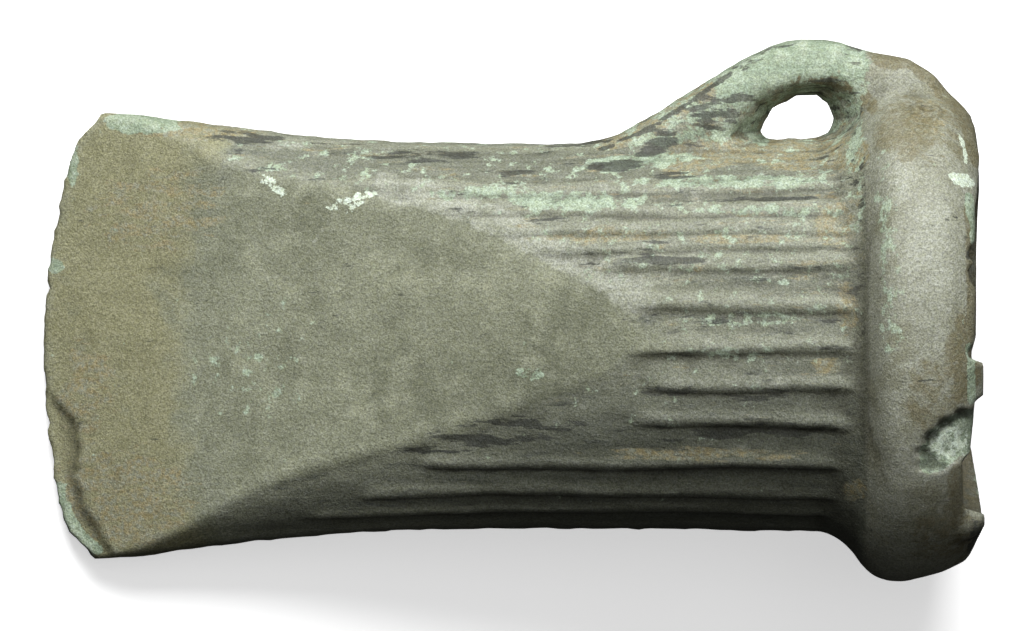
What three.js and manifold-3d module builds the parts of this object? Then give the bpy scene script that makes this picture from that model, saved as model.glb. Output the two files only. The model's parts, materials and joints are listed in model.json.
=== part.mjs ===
// A Late Bronze Age socketed axe head: one bronze casting, hollow towards the mouth.
// It is drawn along +X from the cutting edge (x = 0) to the mouth, with the side loop on +Y and the
// two broad faces towards +Z and -Z, and is then laid on its back face. Millimetres.

import * as THREE from 'three';
import { LoftGeometry } from 'three/addons/geometries/LoftGeometry.js';
import { mergeVertices } from 'three/addons/utils/BufferGeometryUtils.js';
import Module from 'manifold-3d';

// Whole casting
const mouthX = 89.25;
const mouthWear = 0.3; // how far the worn rim wanders in and out
const mouthLobe = { y: -17, z: 7, reach: 0.6, radius: 3.2 }; // a stump of rim left standing

// Blade
const edgeRadius = 66.8;
const edgeCentreY = -1.7; // the edge is worn more on the loop's side
const edgeHalfThickness = 0.4;
const edgeRounding = 0.25;
const edgeSides = 120;
const bevelLength = 12.6;
const bevelHalfThickness = 4.3;
const bladeHalfWidth = 21.35;
const bladeCorners = { // where each rounded corner leaves the edge, turns and joins the side
  plain: { edgeX: 1.4, edgeY: -15.2, turnX: 2.6, sideX: 8.5 },
  loop: { edgeX: 2.1, edgeY: 14.6, turnX: 3.4, sideX: 9 },
};
const facetApexX = 57;
const facetApexHalfThickness = 13;
const edgeDiscReach = 28; // how far in from the edge the disc that shapes the bevels is sloped
const spare = 40; // cutting shapes run this far past the casting

// Body: half width and half thickness at stations along it, and the squareness of its section
const bodyHalfWidth = profile(
  [-2, 21.4], [7, 21.2], [17, 20], [28, 18.9], [40, 18.4], [57, 18.3], [74, 18.6], [92, 18.7],
);
const bodyHalfThickness = profile(
  [-2, 9], [12, 8.6], [20, 8.5], [27, 9.2], [38, 10.8], [48, 12], [57, 13.2], [74, 15], [92, 15],
);
const bodySquareness = 2.15;
const bodyStartX = -2;
const bodyEndX = 80;
const bodySpacing = { blade: 6, facets: 2.4, tube: 4 }; // between the sections of each stretch
const facetsX = 22;
const tubeX = 67;

// Raised ribs along the body, each at a share of the half width
const ribPlaces = [-0.9, -0.784, -0.63, -0.384, -0.195, 0, 0.205, 0.4, 0.485, 0.575, 0.675, 0.8];
const ribHalfWidth = 0.62;
const ribHeight = 0.55;
const ribWander = 0.2;
const ribColumns = [-1, -0.4, 0.4, 1]; // shares of the half width; the middle two are raised
const ribSpacingX = 66; // the section at which the width of the ribs is set out
const plainSide = 0.16; // half of the plain strip between the two faces, as an angle of the section
const facetBlend = 0.3; // the grooves run out where the body rises to this far under the facet plane

// Mouth collar: how far it swells out of the body
const collarSwell = profile(
  [72.5, -1.2], [74.5, 0], [76, 0.8], [77.2, 1.9], [78.2, 3.3], [79.4, 4.3], [81.2, 4.8],
  [84, 4.65], [86, 4.3], [87.4, 3.5], [88.4, 2.6], [89.3, 1.5], [90.4, 0.6],
);
const collarPlaces = [73, 74.5, 76, 77.2, 78.2, 79.4, 81.2, 84, 86, 87.4, 88.4, 89.3, 90.4];
const collarSides = 52;
const collarLag = 1.3; // on the two faces the collar starts this much nearer the mouth

// Socket: the first station is its floor
const socketHalfWidth = profile(
  [32, 12.6], [33, 13.4], [40, 14], [57, 14.7], [76, 15.4], [84, 16.4], [92, 17.4],
);
const socketHalfThickness = profile(
  [32, 3.2], [33, 4], [40, 5.8], [48, 7.9], [57, 9.9], [76, 12.2], [84, 13.6], [92, 14.6],
);
const socketPlaces = [32, 33, 40, 48, 57, 66, 76, 84, 92];
const socketSides = 36;
const socketSquareness = 2.3;

// Side loop: its outline over the body, and the hole through it
const loopOutline = [
  [52.8, 18.4], [55.2, 19.4], [58.9, 21.5], [62.8, 24], [66.6, 26.3], [69.6, 27.7], [72.6, 28.4],
  [76, 28], [79.5, 27], [82.8, 26.4], [85.4, 24.9], [86.6, 23], [88.5, 21.2],
];
const loopRoot = { startX: 49, startY: 17.2, endX: 88.2, insideY: 8 }; // where it is buried in the body
const loopHalfWidth = 4.2;
const loopRound = { depth: 2.2, inset: 1.5 };
const loopHole = { x: 71.95, y: 20.8, halfLength: 3.5, halfHeight: 2.6 };
const loopMouth = { x: 72.4, y: 20.6, halfLength: 6.9, halfHeight: 4, z: 4.3 };
const loopHoleSquareness = 3.2;
const loopHoleSides = 20;
const loopHoleShares = [-1.6, -1, -0.5, 0, 0.5, 1, 1.6]; // sections from one face to the other
const loopHoleWidest = 1.2;

// Casting knob and broken edges of the mouth: centre, radii and turn about Z
const knob = { at: [84.2, 21.3, 8.2], radius: 1.25 };
const chips = [
  { at: [88.6, -10.2, 19.6], size: [4.6, 4.1, 4.6], turn: 0.3 },
  { at: [90.6, -8.2, 14.6], size: [2.4, 3.2, 4.2], turn: 0.9 },
  { at: [90.4, 5.3, 17], size: [1.5, 1.5, 3], turn: 0.5 },
  { at: [90.3, -1.6, 17], size: [1.7, 1.1, 3], turn: 1.2 },
  { at: [91.6, -21.5, 4], size: [2.6, 2.6, 5], turn: 0.2 },
];

// Lying pose: the axe rests on the heel of its lower bevel and on a small worn flat under the collar
const collarCrestX = 80;
const restFlatDepth = 0.4;

const bronze = new THREE.MeshStandardMaterial({ color: 0x8f917b, roughness: 0.62, metalness: 0.35 });

const wasm = await Module();
wasm.setup();

// A smooth curve through [place, size] stations.
function profile(...stations) {
  const places = stations.map(([place]) => place);
  const sizes = stations.map(([, size]) => size);
  const curve = new THREE.CubicInterpolant(places, sizes, 1, new Float64Array(1));
  return (x) => curve.evaluate(THREE.MathUtils.clamp(x, places[0], places[places.length - 1]))[0];
}

// A point of the rounded-oval section, with half width a along Y and half thickness b along Z.
function ovalPoint(x, a, b, squareness, angle) {
  const c = Math.cos(angle);
  const s = Math.sin(angle);
  const y = a * Math.sign(c) * Math.abs(c) ** (2 / squareness);
  const z = b * Math.sign(s) * Math.abs(s) ** (2 / squareness);
  return new THREE.Vector3(x, y, z);
}

function toSolid(shape) {
  const geometry = new THREE.BufferGeometry().copy(shape);
  geometry.deleteAttribute('normal');
  geometry.deleteAttribute('uv');
  const merged = mergeVertices(geometry, 1e-4);
  const vertProperties = new Float32Array(merged.attributes.position.array);
  const triVerts = new Uint32Array(merged.index.array);
  return new wasm.Manifold(new wasm.Mesh({ numProp: 3, vertProperties, triVerts }));
}

function toGeometry(solid) {
  const { vertProperties, triVerts } = solid.getMesh();
  const geometry = new THREE.BufferGeometry();
  geometry.setAttribute('position', new THREE.BufferAttribute(vertProperties, 3));
  geometry.setIndex(new THREE.BufferAttribute(triVerts, 1));
  geometry.computeVertexNormals();
  return geometry;
}

function loft(sections) {
  return toSolid(new LoftGeometry(sections, { capStart: true, capEnd: true }));
}

// Half thickness of the axe between its two flat facets.
function facetHalfThickness(x) {
  const share = (x - bevelLength) / (facetApexX - bevelLength);
  return THREE.MathUtils.lerp(bevelHalfThickness, facetApexHalfThickness, share);
}

// Angles of the section columns: four to each rib, and some between ribs that stand far apart.
function bodyColumns() {
  const columns = [];
  const a = bodyHalfWidth(ribSpacingX);
  const b = bodyHalfThickness(ribSpacingX);
  const smallTurn = 0.01;
  for (const face of [1, -1]) {
    for (const place of ribPlaces) {
      const middle = face * Math.acos(Math.sign(place) * Math.abs(place) ** (bodySquareness / 2));
      const here = ovalPoint(0, a, b, bodySquareness, middle);
      const next = ovalPoint(0, a, b, bodySquareness, middle + smallTurn);
      const stretch = here.distanceTo(next) / smallTurn;
      for (const step of ribColumns) {
        const raised = Math.abs(step) < 1;
        columns.push({ angle: middle + (step * ribHalfWidth) / stretch, raised, place });
      }
    }
  }
  for (const side of [0, Math.PI]) {
    for (const step of [-plainSide, 0, plainSide]) {
      columns.push({ angle: side + step, raised: true, place: 0 });
    }
  }
  const turn = (angle) => (angle + 2 * Math.PI) % (2 * Math.PI);
  columns.sort((p, q) => turn(p.angle) - turn(q.angle));
  return columns;
}

// One section of the body at x. The ribs stand flush with the oval and the grooves lie below it;
// the grooves run out where they reach the facets.
function bodySection(x, columns) {
  const a = bodyHalfWidth(x);
  const b = bodyHalfThickness(x);
  return columns.map(({ angle, raised, place }) => {
    const drift = (ribWander / a) * Math.sin(x / 8 + place * 9) * (place === 0 && raised ? 0 : 1);
    const point = ovalPoint(x, a, b, bodySquareness, angle + drift);
    const clear = facetHalfThickness(x) - Math.abs(point.z);
    const depth = raised ? 0 : ribHeight * THREE.MathUtils.smoothstep(clear, 0, facetBlend);
    const outward = new THREE.Vector2(point.y / (a * a), point.z / (b * b)).normalize();
    return new THREE.Vector3(x, point.y - outward.x * depth, point.z - outward.y * depth);
  });
}

function makeBody() {
  const columns = bodyColumns();
  const places = [];
  for (let x = bodyStartX; x < facetsX; x += bodySpacing.blade) places.push(x);
  for (let x = facetsX; x < tubeX - 1; x += bodySpacing.facets) places.push(x);
  for (let x = tubeX; x <= bodyEndX; x += bodySpacing.tube) places.push(x);
  return loft(places.map((x) => bodySection(x, columns)));
}

// The two facets as a long wedge, wider than the axe.
function makeFacetWedge() {
  const far = 110;
  const near = -3;
  const outline = new THREE.Shape([
    new THREE.Vector2(near, -facetHalfThickness(near)),
    new THREE.Vector2(far, -facetHalfThickness(far)),
    new THREE.Vector2(far, facetHalfThickness(far)),
    new THREE.Vector2(near, facetHalfThickness(near)),
  ]);
  const wedge = new THREE.ExtrudeGeometry(outline, { depth: 2 * spare, bevelEnabled: false });
  return toSolid(wedge.translate(0, 0, -spare).rotateX(Math.PI / 2));
}

// The curved cutting edge with its steeper bevels, as a disc turned about Z. Its sloping faces run on
// over the facets, and behind them it is thicker than the body.
function makeEdgeDisc() {
  const slope = (bevelHalfThickness - edgeHalfThickness) / bevelLength;
  const high = edgeHalfThickness + slope * edgeDiscReach;
  const core = edgeRadius - edgeDiscReach;
  const disc = new THREE.LatheGeometry([
    new THREE.Vector2(0, -spare),
    new THREE.Vector2(core, -spare),
    new THREE.Vector2(core, -high),
    new THREE.Vector2(edgeRadius - edgeRounding, -edgeHalfThickness),
    new THREE.Vector2(edgeRadius, 0),
    new THREE.Vector2(edgeRadius - edgeRounding, edgeHalfThickness),
    new THREE.Vector2(core, high),
    new THREE.Vector2(core, spare),
    new THREE.Vector2(0, spare),
  ], edgeSides);
  return toSolid(disc.rotateX(Math.PI / 2).translate(edgeRadius, edgeCentreY, 0));
}

// Plan outline that rounds the two corners of the blade.
function makeBladePlan() {
  const { plain, loop } = bladeCorners;
  const outline = new THREE.Shape();
  outline.moveTo(-3, 12);
  outline.lineTo(-3, -12);
  outline.lineTo(plain.edgeX, plain.edgeY);
  outline.quadraticCurveTo(plain.turnX, -bladeHalfWidth, plain.sideX, -bladeHalfWidth);
  outline.lineTo(110, -bladeHalfWidth);
  outline.lineTo(110, bladeHalfWidth);
  outline.lineTo(loop.sideX, bladeHalfWidth);
  outline.quadraticCurveTo(loop.turnX, bladeHalfWidth, loop.edgeX, loop.edgeY);
  const settings = { depth: 2 * spare, bevelEnabled: false, curveSegments: 6 };
  const plan = new THREE.ExtrudeGeometry(outline, settings);
  return toSolid(plan.translate(0, 0, -spare));
}

function makeCollar() {
  const sections = collarPlaces.map((x) => {
    const a = bodyHalfWidth(x) + collarSwell(x);
    const b = bodyHalfThickness(x) + collarSwell(x);
    const section = [];
    const lag = collarLag * THREE.MathUtils.smoothstep(collarCrestX - x, 0, 4);
    for (let i = 0; i < collarSides; i += 1) {
      const angle = (i * 2 * Math.PI) / collarSides;
      section.push(ovalPoint(x + lag * Math.sin(angle) ** 2, a, b, bodySquareness, angle));
    }
    return section;
  });
  return loft(sections);
}

function makeSocket() {
  const sections = socketPlaces.map((x) => {
    const section = [];
    for (let i = 0; i < socketSides; i += 1) {
      const angle = (i * 2 * Math.PI) / socketSides;
      section.push(ovalPoint(x, socketHalfWidth(x), socketHalfThickness(x), socketSquareness, angle));
    }
    return section;
  });
  return loft(sections);
}

function makeLoop() {
  const outline = new THREE.Shape();
  outline.moveTo(loopRoot.startX, loopRoot.insideY);
  outline.lineTo(loopRoot.startX, loopRoot.startY);
  outline.splineThru(loopOutline.map(([x, y]) => new THREE.Vector2(x, y)));
  outline.lineTo(loopRoot.endX, loopRoot.insideY);
  const { depth, inset } = loopRound;
  const strap = new THREE.ExtrudeGeometry(outline, {
    depth: 2 * (loopHalfWidth - depth),
    bevelThickness: depth,
    bevelSize: inset,
    bevelOffset: -inset,
    bevelSegments: 3,
    curveSegments: 1,
  });
  return toSolid(strap.translate(0, 0, depth - loopHalfWidth));
}

// The hole through the loop narrows to its middle, where the two mould halves met.
function makeLoopHole() {
  const sections = [];
  for (const share of loopHoleShares) {
    const open = Math.min(Math.abs(share), loopHoleWidest);
    const x = THREE.MathUtils.lerp(loopHole.x, loopMouth.x, open);
    const y = THREE.MathUtils.lerp(loopHole.y, loopMouth.y, open);
    const a = THREE.MathUtils.lerp(loopHole.halfLength, loopMouth.halfLength, open);
    const b = THREE.MathUtils.lerp(loopHole.halfHeight, loopMouth.halfHeight, open);
    const section = [];
    for (let i = 0; i < loopHoleSides; i += 1) {
      const oval = ovalPoint(0, a, b, loopHoleSquareness, (i * 2 * Math.PI) / loopHoleSides);
      section.push(new THREE.Vector3(x + oval.y, y + oval.z, share * loopMouth.z));
    }
    sections.push(section);
  }
  return loft(sections);
}

function makeChip({ at, size, turn }) {
  const lump = new THREE.IcosahedronGeometry(1, 1).scale(...size).rotateZ(turn);
  return toSolid(lump.translate(...at));
}

// Everything beyond the worn mouth.
function makeMouthCut() {
  const depth = 30;
  const beyond = new THREE.BoxGeometry(depth, 60, 60, 1, 16, 16);
  const corner = beyond.attributes.position;
  for (let i = 0; i < corner.count; i += 1) {
    const y = corner.getY(i);
    const z = corner.getZ(i);
    const away = Math.hypot(y - mouthLobe.y, z - mouthLobe.z) / mouthLobe.radius;
    const lobe = mouthLobe.reach * Math.exp(-away * away);
    const wander = mouthWear * Math.sin(y * 0.9 + 1) * Math.cos(z * 0.7);
    if (corner.getX(i) < 0) corner.setX(i, -depth / 2 + Math.max(wander, lobe));
  }
  return toSolid(beyond.translate(depth / 2 + mouthX, 0, 0));
}

// Everything below the surface that the axe lies on: it touches the heel of the lower bevel.
function makeGround(tilt) {
  const level = bevelLength * Math.sin(tilt) - bevelHalfThickness * Math.cos(tilt);
  const ground = new THREE.BoxGeometry(300, 200, spare).translate(0, 0, level - spare / 2);
  return toSolid(ground.rotateY(tilt));
}

const collarHalfThickness = bodyHalfThickness(collarCrestX) + collarSwell(collarCrestX);
const restRise = collarHalfThickness - restFlatDepth - bevelHalfThickness;
const restTilt = Math.atan(restRise / (collarCrestX - bevelLength));

let casting = makeBody().intersect(makeFacetWedge()).intersect(makeEdgeDisc()).intersect(makeBladePlan());
casting = casting.add(makeCollar()).add(makeLoop().subtract(makeLoopHole()));
casting = casting.add(toSolid(new THREE.SphereGeometry(knob.radius, 12, 8).translate(...knob.at)));
casting = casting.subtract(makeSocket()).subtract(makeMouthCut());
for (const chip of chips) casting = casting.subtract(makeChip(chip));
casting = casting.subtract(makeGround(restTilt));

const axeHead = new THREE.Mesh(toGeometry(casting), bronze);
axeHead.name = 'axe_head';
axeHead.rotation.y = -restTilt;

const part = new THREE.Group();
part.add(axeHead);
const box = new THREE.Box3().setFromObject(part, true);
const middle = box.getCenter(new THREE.Vector3());
axeHead.position.set(-middle.x, -middle.y, -box.min.z);

export default part;
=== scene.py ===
import json
import math

import bmesh
import bpy
import numpy as np
from mathutils import Matrix, Vector


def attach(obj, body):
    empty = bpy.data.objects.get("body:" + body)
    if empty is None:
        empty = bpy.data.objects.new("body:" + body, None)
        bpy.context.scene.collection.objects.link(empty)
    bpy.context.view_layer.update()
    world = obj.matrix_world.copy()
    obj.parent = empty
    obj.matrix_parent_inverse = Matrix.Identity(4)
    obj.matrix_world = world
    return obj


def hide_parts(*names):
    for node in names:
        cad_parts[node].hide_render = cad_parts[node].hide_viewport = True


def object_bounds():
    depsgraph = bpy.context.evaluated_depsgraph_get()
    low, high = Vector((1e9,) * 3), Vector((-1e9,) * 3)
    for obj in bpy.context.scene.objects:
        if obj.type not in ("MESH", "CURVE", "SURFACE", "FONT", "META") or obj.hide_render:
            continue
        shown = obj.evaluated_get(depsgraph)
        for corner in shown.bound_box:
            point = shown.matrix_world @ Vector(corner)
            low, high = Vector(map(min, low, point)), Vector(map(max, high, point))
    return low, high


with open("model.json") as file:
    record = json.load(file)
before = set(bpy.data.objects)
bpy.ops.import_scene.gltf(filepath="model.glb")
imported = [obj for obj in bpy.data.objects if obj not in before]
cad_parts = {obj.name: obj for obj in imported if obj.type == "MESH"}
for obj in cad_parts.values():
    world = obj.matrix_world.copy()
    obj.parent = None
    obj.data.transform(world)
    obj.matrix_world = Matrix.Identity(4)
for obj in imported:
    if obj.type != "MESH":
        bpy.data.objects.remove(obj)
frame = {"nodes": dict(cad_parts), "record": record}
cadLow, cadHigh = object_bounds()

# The axe's own frame, in millimetres: x from the cutting edge to the mouth, y to the loop side,
# z out of the upper face. The socket's floor and its axis place it in the lying part.
socketFloorX = 32
mounts = {mount["name"]: mount for mount in frame["record"]["mounts"]}
alongAxe = Vector(mounts["socket_seat"]["axis"]).normalized()
acrossAxe = Vector((0, 1, 0))
outOfFace = alongAxe.cross(acrossAxe)
edgeOrigin = Vector(mounts["socket_seat"]["pos_m"]) - alongAxe * socketFloorX * 0.001
axeTurn = np.array([alongAxe, acrossAxe, outOfFace])


def toAxe(points):
    return (points - np.array(edgeOrigin)) @ axeTurn.T * 1000


def fromAxe(points):
    return points * 0.001 @ axeTurn + np.array(edgeOrigin)


# helpers for shaping


def smoothStep(low, high, value):
    share = np.clip((value - low) / (high - low), 0, 1)
    return share * share * (3 - 2 * share)


def smoothMax(first, second, blend):
    share = np.clip(0.5 + 0.5 * (first - second) / blend, 0, 1)
    return second + (first - second) * share + blend * share * (1 - share)


def smoothMin(first, second, blend):
    return -smoothMax(-first, -second, blend)


def waves(place, swings):
    # a sum of sine waves, each with its height, its rate and its start
    return sum(height * np.sin(place * rate + start) for height, rate, start in swings)


def curveThrough(stations):
    # a smooth curve through [place, size] pairs, read off a fine table
    place, size = np.array(stations, float).T
    rise = np.diff(size) / np.diff(place)
    middle = (size[2:] - size[:-2]) / (place[2:] - place[:-2])
    slope = np.concatenate([rise[:1], middle, rise[-1:]])
    fine = np.linspace(place[0], place[-1], 600)
    k = np.clip(np.searchsorted(place, fine, side="right") - 1, 0, len(place) - 2)
    gap = place[k + 1] - place[k]
    t = (fine - place[k]) / gap
    table = (
        size[k] * (2 * t**3 - 3 * t**2 + 1)
        + slope[k] * gap * (t**3 - 2 * t**2 + t)
        + size[k + 1] * (3 * t**2 - 2 * t**3)
        + slope[k + 1] * gap * (t**3 - t**2)
    )
    return lambda x: np.interp(x, fine, table)


def ovalGap(y, z, a, b, squareness):
    # how far a point lies outside the rounded oval of half sizes a and b
    share = ((np.abs(y) / a) ** squareness + (np.abs(z) / b) ** squareness) ** (1 / squareness)
    share = np.maximum(share, 1e-6)
    return np.hypot(y, z) * (1 - 1 / share)


def cloudNoise(points, size, seed):
    # soft noise from -1 to 1 with lumps about as big as size, which may differ along x, y and z
    rng = np.random.default_rng(seed)
    cells = 32
    lattice = rng.uniform(-1, 1, (cells, cells, cells))
    spot = points / np.array(size) + rng.uniform(0, cells, 3)
    base = np.floor(spot).astype(int)
    part = spot - base
    part = part * part * (3 - 2 * part)
    total = np.zeros(len(points))
    for i in (0, 1):
        for j in (0, 1):
            for k in (0, 1):
                corner = np.array((i, j, k))
                weight = np.abs(1 - corner - part).prod(1)
                cell = (base + corner) % cells
                total += weight * lattice[cell[:, 0], cell[:, 1], cell[:, 2]]
    return total


# the casting's smooth form, as signed distances: below 0 inside it and above 0 outside

wellInside = -5  # where a cut takes nothing away
wellOutside = 5  # where a form adds nothing

body = {
    "halfWidth": curveThrough(
        [
            [-2, 21.4], [7, 21.2], [17, 20], [28, 18.9], [40, 18.4], [57, 18.3], [74, 18.6],
            [92, 18.7],
        ]
    ),
    "halfThickness": curveThrough(
        [
            [-2, 9], [12, 8.6], [20, 8.5], [27, 9.2], [38, 10.8], [48, 12], [57, 13.2], [74, 15],
            [92, 15],
        ]
    ),
    "squareness": 2.15,
}
blade = {
    "edgeRadius": 66.8,
    "edgeCentreY": -1.7,
    "edgeHalfThickness": 0.4,
    "edgeSoftness": 0.5,
    "bevelLength": 12.6,
    "bevelHalfThickness": 4.3,
    "bevelEndX": 40,
    "bevelSoftness": 0.9,
    "bevelLean": 0.95,  # the cosine of its slope
    "facetLean": 0.98,
    "apexX": 57,
    "apexHalfThickness": 13.15,
    "facetSoftness": 0.5,
    "facetFall": 0.0042,  # the upper face drops a little towards the loop side
    "grooveFade": [-0.3, 0.55],  # the grooves run out over this height below the facet
    "wornX": 9,  # wear and nicks reach this far along the axe
    "wear": [[0.05, 2.9, 0], [0.04, 5.3, 2]],
    # nicks in the cutting edge: y, depth, half width
    "nicks": [
        [4.4, 0.3, 0.5], [-4.6, 0.25, 0.8], [-8.2, 0.25, 0.7], [-11.4, 0.3, 0.9], [11.2, 0.2, 1.2],
    ],
    # the flake lost from the upper face along the lower edge: corners in x and y, then its depth
    "flake": [
        [-3, -4.6], [0.4, -5.3], [1.6, -6.3], [3.1, -8], [3.5, -9.9], [3.6, -11.8], [3.2, -13.4],
        [3.9, -15.7], [4.7, -17.6], [5.7, -19], [6.5, -20.2], [6.6, -24], [-3, -24],
    ],
    "flakeDepth": 0.36,
}
ribs = {
    # each rib's place as a share of the half width, its height and where it starts along the axe
    "list": [
        [-0.91, 0.3, 24], [-0.82, 0.36, 29], [-0.67, 0.45, 35], [-0.446, 0.5, 55],
        [-0.254, 0.5, 57], [-0.065, 0.48, 55], [0.162, 0.48, 54.5], [0.386, 0.42, 52],
        [0.473, 0.34, 45], [0.557, 0.34, 39], [0.66, 0.3, 34], [0.773, 0.28, 28],
    ],
    "upperSide": 1.05,  # a gentle slope on the loop side
    "upperPower": 2.6,
    "lowerSide": 0.48,  # and a steep one on the other
    "lowerPower": 5,
    "wander": 0.17,
    "fadeIn": 3.5,
    "plainSide": [0.16, 0.34],  # no grooves this near the sides, in radians round the section
    "endX": [76.4, 78.0],
}
collar = {
    "startX": 73.5,
    "blend": 0.35,
    "sideSwell": curveThrough(
        [
            [72.5, -1.2], [74.5, 0], [76, 0.8], [77.2, 1.9], [78.2, 3.3], [79.4, 4.3], [81.2, 4.8],
            [84, 4.65], [86, 4.3], [87.4, 3.5], [88.4, 2.6], [89.3, 1.5], [90.4, 0.6],
        ]
    ),
    "faceSwell": curveThrough(
        [
            [72.5, -1.2], [75.5, -0.7], [77.2, -0.2], [78.2, 0.5], [78.9, 1.7], [79.6, 3],
            [80.6, 4.1], [82, 4.65], [84, 4.65], [86, 4.3], [87.4, 3.5], [88.4, 2.6], [89.3, 1.5],
            [90.4, 0.6],
        ]
    ),
    "knob": {"at": [84.2, 21.3, 8.4], "radius": 1.05, "ring": 0.34, "boss": 0.3},
    # the scar broken into the upper face by the rim: corners in x and y, depth
    "scar": [
        [92, -6.6], [88.6, -6.9], [86.8, -7.2], [85.4, -8], [84.2, -9.1], [83.2, -10.6],
        [83.4, -12.4], [84.1, -13.2], [85.8, -12.7], [87.5, -11.2], [92, -11],
    ],
    "scarDepth": 0.75,
    "scarTilt": 0.17,  # its floor faces up more than the collar does
    "scarMiddleY": -10.2,
}
rim = {
    # where the rim ends, as pairs of y and x, on the upper face and on the lower one
    "near": [
        [-24, 80], [-23.3, 83.1], [-22.5, 85.9], [-21.4, 88.4], [-19.5, 89.2], [-18, 89.9],
        [-16.9, 89.7], [-16.3, 87.7], [-11.8, 87.5], [-11, 88.3], [-8, 88.6], [-6.2, 88.7],
        [-5.6, 89.5], [-2.6, 89.4], [-2.1, 88], [-1.3, 87.9], [-0.8, 88.5], [1, 88.7], [4.4, 88.7],
        [5.3, 88.1], [6.3, 88], [6.9, 88.5], [7.5, 88], [8.3, 88.1], [9, 88.7], [12, 88.75],
        [13.6, 89], [17, 89.35], [20, 88.9], [21.6, 88.1], [22.8, 87], [24, 85.9], [25.2, 85],
        [26.4, 82.9],
    ],
    "far": [
        [-24, 80], [-23.3, 83.1], [-22.5, 85.9], [-21, 88.6], [-18.7, 89.4], [-17, 89.8],
        [-14.9, 89.6], [-11, 89], [-10.2, 88.8], [-6.6, 88.8], [-5, 89.2], [-1.6, 89], [0, 89.45],
        [8, 89.45], [14, 89.6], [17, 89.4], [19.5, 89], [21, 88.6], [22.5, 87.3], [24, 85.9],
        [26.4, 82.9],
    ],
    "turnOver": [-1, 4],  # from the lower face's line to the upper one's between these z
    "startX": 80,
    "plainEndX": 95,
    "lean": 0.8,
    "roundness": 0.45,
    # a stump of rim left standing
    "stump": {"at": [87.6, -16.9, 9.6], "radius": 2.5, "blend": 0.6},
}
socket = {
    "halfWidth": curveThrough(
        [[32, 12.6], [33, 13.4], [40, 14], [57, 14.7], [76, 15.4], [84, 16.4], [92, 17.4]]
    ),
    "halfThickness": curveThrough(
        [[32, 3.2], [33, 4], [40, 5.8], [48, 7.9], [57, 9.9], [76, 12.2], [84, 13.6], [92, 14.6]]
    ),
    "squareness": 2.3,
    "floorRoundness": 0.8,
    "lipRoundness": 0.5,
}
loop = {
    "outline": [
        [49, 8], [49, 17.2], [52.8, 18.4], [55.2, 19.4], [58.9, 21.5], [62.8, 24], [66.6, 26.3],
        [69.6, 27.7], [72.6, 28.4], [76, 28], [79.5, 27], [82.8, 26.4], [85.4, 24.9], [86.6, 23],
        [88.5, 21.2], [88.2, 8],
    ],
    "blend": 1.2,
    "halfWidth": 4.2,
    "roundness": 3.2,
    # the eye, narrowest in the middle and flaring to both faces
    "eye": [
        [68.4, 19.6], [68.9, 18.5], [70.4, 18.1], [71.6, 18.5], [72.4, 18.2], [73.8, 18.4],
        [75.1, 19.2], [75.5, 20.8], [75, 22.3], [73.9, 23.1], [71.9, 23.0], [69.7, 21.8],
    ],
    "eyeCentre": [72, 20.6],
    "eyeLean": 0.85,
    "eyeRoundness": 0.7,
    "flare": [1.95, 1.5],  # how many times as long and as wide at the faces
    "flareZ": 4.3,
    "flarePower": 1.5,
}


def facetHeight(x, y, z):
    share = (x - blade["bevelLength"]) / (blade["apexX"] - blade["bevelLength"])
    low, high = blade["bevelHalfThickness"], blade["apexHalfThickness"]
    fall = blade["facetFall"] * np.clip(y, 0, 14) ** 2 * smoothStep(12, 30, x) * (z > 0)
    return low + share * (high - low) - fall


def sectionAngle(y, z, a, b, squareness):
    c = np.sign(y) * (np.abs(y) / a) ** (squareness / 2)
    s = np.sign(z) * (np.abs(z) / b) ** (squareness / 2)
    return np.arctan2(s, c)


def placeAngle(place):
    return math.acos(math.copysign(abs(place) ** (body["squareness"] / 2), place))


def sideStretch(angle):
    # millimetres along a middling section for one radian of its angle
    halfWidth, halfThickness, step = 18.5, 14.2, 0.01
    power = 2 / body["squareness"]
    spots = []
    for turn in (angle, angle + step):
        c, s = math.cos(turn), math.sin(turn)
        across = halfWidth * math.copysign(abs(c) ** power, c)
        spots.append((across, halfThickness * abs(s) ** power))
    return math.dist(*spots) / step


def ribShare(points):
    # 1 on a rib's crest and 0 in the flat of a groove, and how tall the ribs are here
    x, y, z = points.T
    a, b = body["halfWidth"](x), body["halfThickness"](x)
    angle = np.abs(sectionAngle(y, z, a, b, body["squareness"]))
    share = np.zeros(len(x))
    angles = []
    for number, (place, _, start) in enumerate(ribs["list"]):
        middle = placeAngle(place)
        angles.append(middle)
        drift = np.sin(x / 7.3 + number * 2.1) + 0.5 * np.sin(x / 2.9 + number * 5.3)
        away = (angle - middle) * sideStretch(middle) + ribs["wander"] * drift
        above = 1 / (1 + np.abs(away / ribs["upperSide"]) ** ribs["upperPower"])
        below = 1 / (1 + np.abs(away / ribs["lowerSide"]) ** ribs["lowerPower"])
        begun = smoothStep(start, start + ribs["fadeIn"], x)
        share = np.maximum(share, np.where(away < 0, above, below) * begun)
    tall = np.interp(angle, angles[::-1], [rib[1] for rib in ribs["list"]][::-1])
    tall = tall * (0.88 + 0.12 * np.sin(x / 5.1 + angle * 9))
    side = np.minimum(angle, math.pi - angle)
    share = np.maximum(share, 1 - smoothStep(*ribs["plainSide"], side))
    return share, tall


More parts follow.
